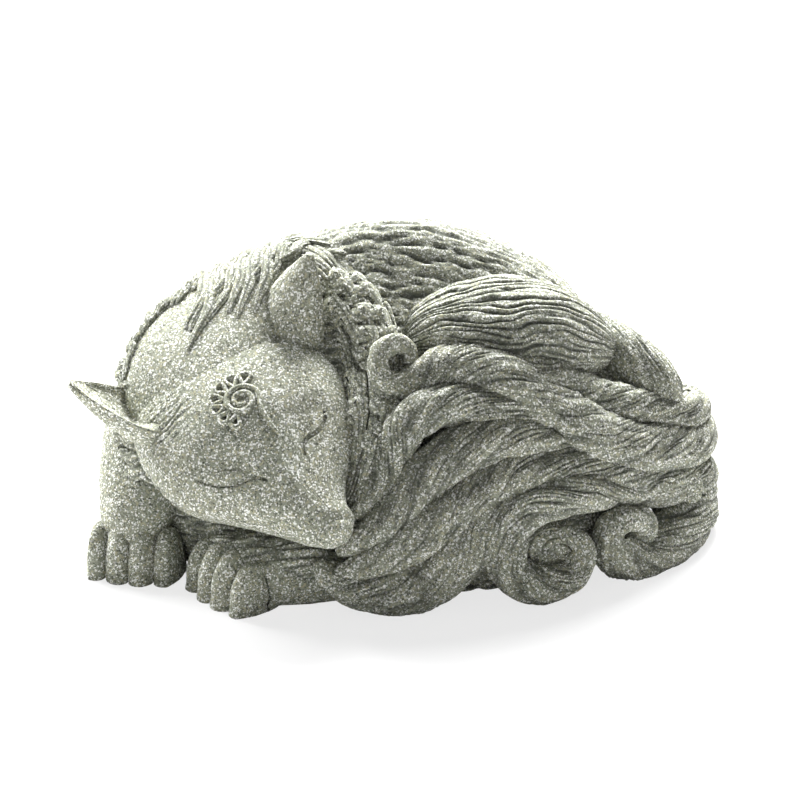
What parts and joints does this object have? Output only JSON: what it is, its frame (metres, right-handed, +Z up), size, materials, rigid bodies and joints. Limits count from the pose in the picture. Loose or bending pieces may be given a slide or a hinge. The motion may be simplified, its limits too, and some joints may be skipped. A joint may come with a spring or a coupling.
{
  "type": "fox figurine",
  "caption": "Sleeping fox curled on a flat base, its nine strand-carved tails piled round its side and under its chin; solid cast-stone ornament.",
  "frame": {"origin": "on the ground under the middle of the figure's footprint box", "axes": "+X along the length towards the piled tails, +Z up, the face and paws towards -Y"},
  "size_m": [0.2908, 0.1999, 0.1395],
  "materials": {
    "stone": "rough cast stone with fine light and dark grit"
  },
  "bodies": {
    "root": {"torso": "stone", "haunch": "stone", "tail_root": "stone", "neck_ruff": "stone", "head": "stone", "nose": "stone", "right_ear": "stone", "left_ear": "stone", "right_eyelid": "stone", "left_eyelid": "stone", "brow_swirl": "stone", "right_foreleg": "stone", "right_paw": "stone", "left_foreleg": "stone", "left_paw": "stone", "forearm_fur": "stone", "tail_hook": "stone", "tail_rope": "stone", "tail_cheek": "stone", "tail_crest": "stone", "tail_sweep": "stone", "tail_chin": "stone", "tail_spiral": "stone", "tail_corner": "stone", "tail_low": "stone"}
  },
  "joints": []
}
